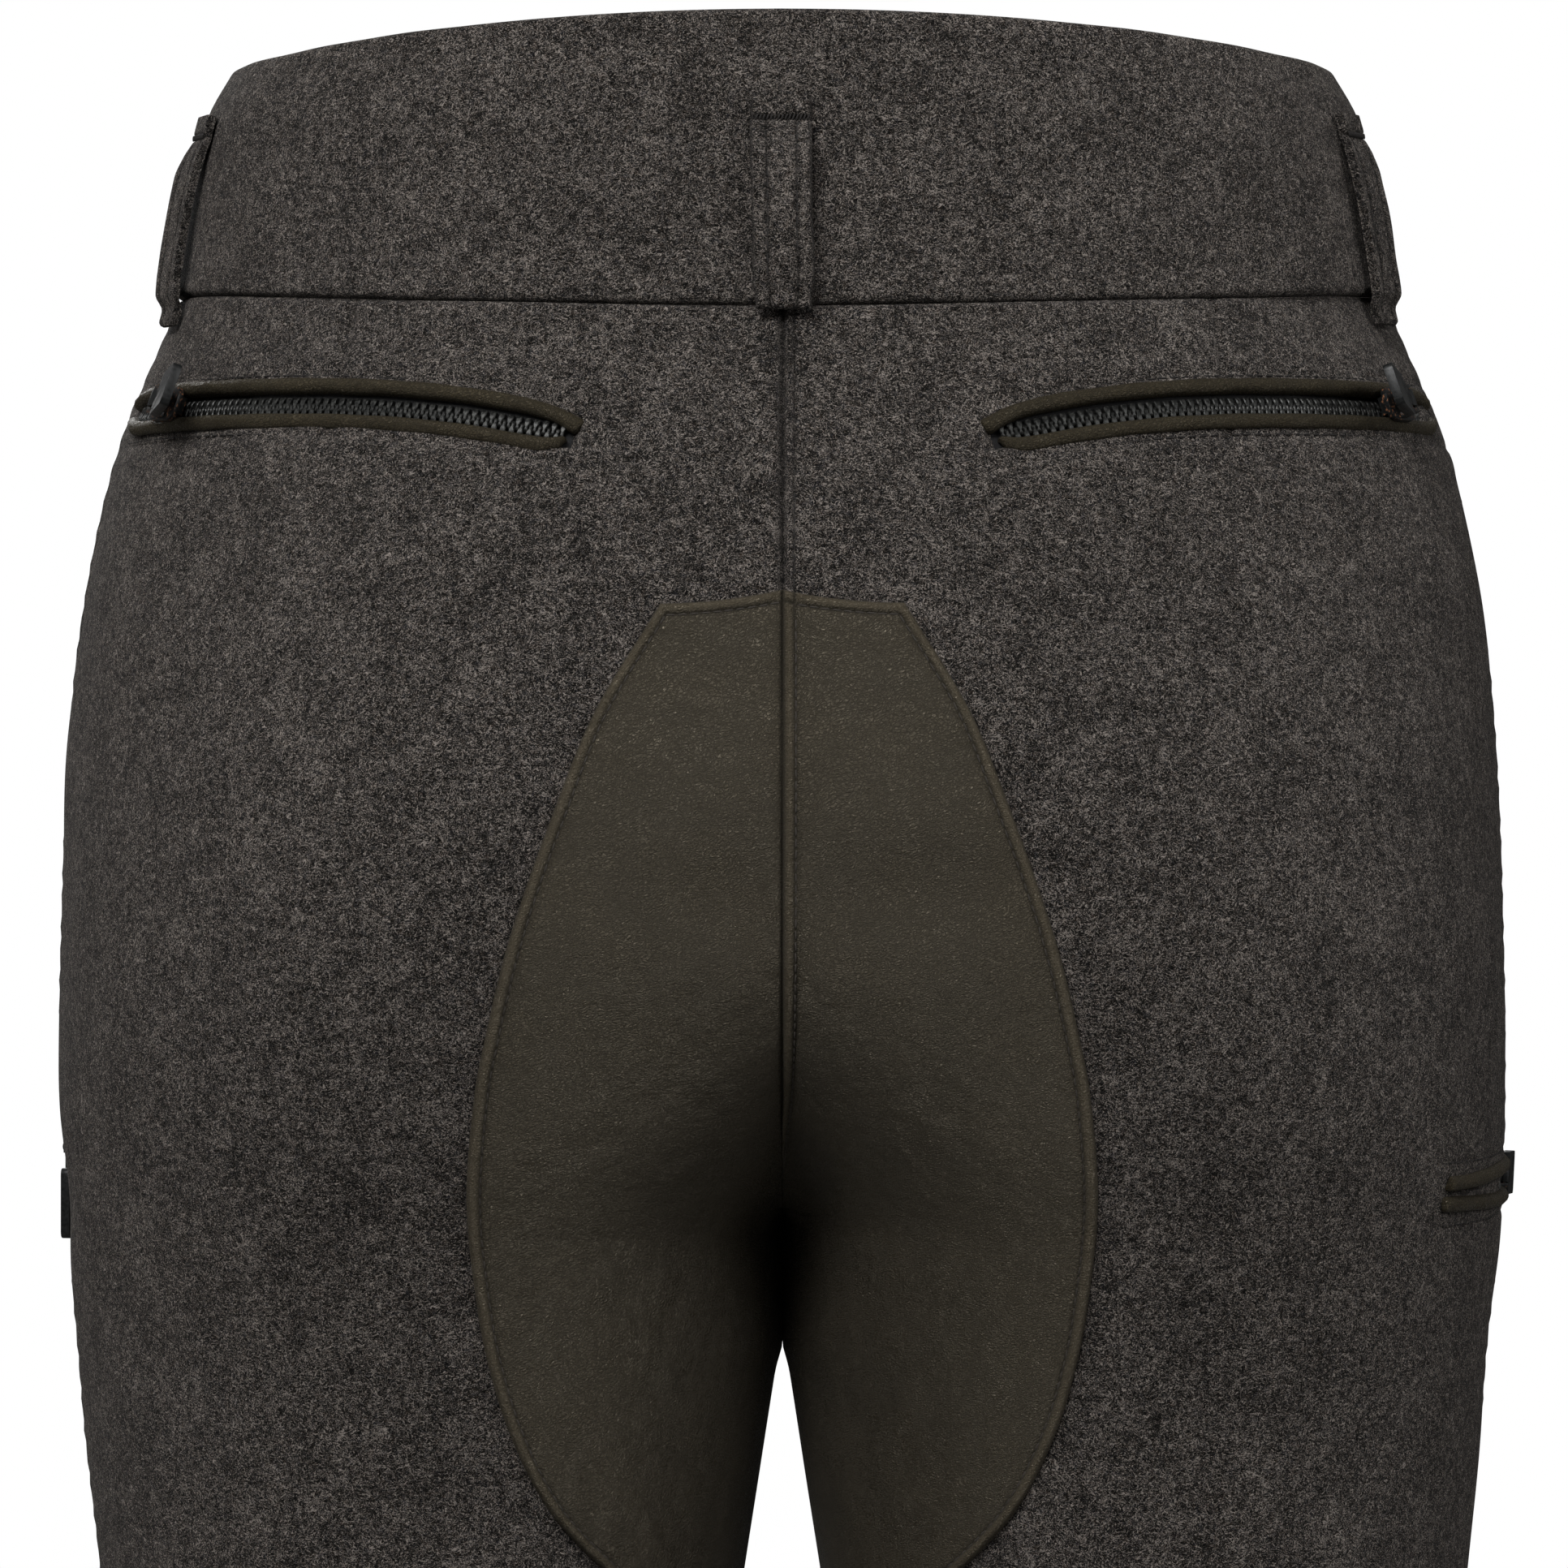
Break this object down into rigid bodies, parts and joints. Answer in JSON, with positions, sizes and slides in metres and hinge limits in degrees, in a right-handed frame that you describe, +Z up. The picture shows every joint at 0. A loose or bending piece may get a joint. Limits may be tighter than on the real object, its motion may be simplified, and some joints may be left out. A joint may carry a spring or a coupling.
{
  "type": "loden trousers",
  "caption": "Worn-form loden trousers with a leather seat, deep waistband with belt loops, and leather-welted zip pockets at the back and on the thighs.",
  "frame": {"origin": "centre of the waist, level with the waistband's top edge at the side seams", "axes": "+Z up towards the waist, +Y towards the back of the wearer, +X towards the wearer's left"},
  "size_m": [0.3747, 0.2596, 1.0693],
  "materials": {
    "loden": "felted, dark grey-brown",
    "leather": "olive-brown smooth grain",
    "zip_metal": "black, worn to copper at the edges",
    "zip_tape": "black woven tape with metal teeth",
    "button": "dark brown horn look"
  },
  "bodies": {
    "trousers": {"waistband": "loden", "waist_button": "button", "front_left": "loden", "front_right": "loden", "back_left": "loden", "back_right": "loden", "seat_patch_left": "leather", "seat_patch_right": "leather", "belt_loop_back": "loden", "belt_loop_side_left": "loden", "belt_loop_side_right": "loden", "belt_loop_front_left": "loden", "belt_loop_front_right": "loden", "back_left_welt_upper": "leather", "back_left_welt_lower": "leather", "back_left_zip": "zip_tape", "back_left_slider": "zip_metal", "back_right_welt_upper": "leather", "back_right_welt_lower": "leather", "back_right_zip": "zip_tape", "back_right_slider": "zip_metal", "thigh_left_welt_upper": "leather", "thigh_left_welt_lower": "leather", "thigh_left_zip": "zip_tape", "thigh_left_slider": "zip_metal", "thigh_right_welt_upper": "leather", "thigh_right_welt_lower": "leather", "thigh_right_zip": "zip_tape", "thigh_right_slider": "zip_metal"},
    "pull_back_left": {"back_left_pull": "zip_metal"},
    "pull_back_right": {"back_right_pull": "zip_metal"},
    "pull_thigh_left": {"thigh_left_pull": "zip_metal"},
    "pull_thigh_right": {"thigh_right_pull": "zip_metal"}
  },
  "joints": [
    {"name": "back_left_pull_flip", "type": "hinge", "parent": "trousers", "child": "pull_back_left", "pos_m": [0.15492, 0.05864, -0.08486], "axis": [0.3152, 0.1993, -0.9279], "range_deg": [-2, 112]},
    {"name": "back_right_pull_flip", "type": "hinge", "parent": "trousers", "child": "pull_back_right", "pos_m": [-0.15492, 0.05864, -0.08486], "axis": [0.3152, -0.1993, 0.9279], "range_deg": [-2, 112]},
    {"name": "thigh_left_pull_swing", "type": "hinge", "parent": "trousers", "child": "pull_thigh_left", "pos_m": [0.18267, -0.03877, -0.27319], "axis": [-0.2844, -0.9587, 0], "range_deg": [-2, 140]},
    {"name": "thigh_right_pull_flip", "type": "hinge", "parent": "trousers", "child": "pull_thigh_right", "pos_m": [-0.18471, -0.0294, -0.27978], "axis": [0.0507, 0.0104, -0.9987], "range_deg": [-20, 100]}
  ]
}
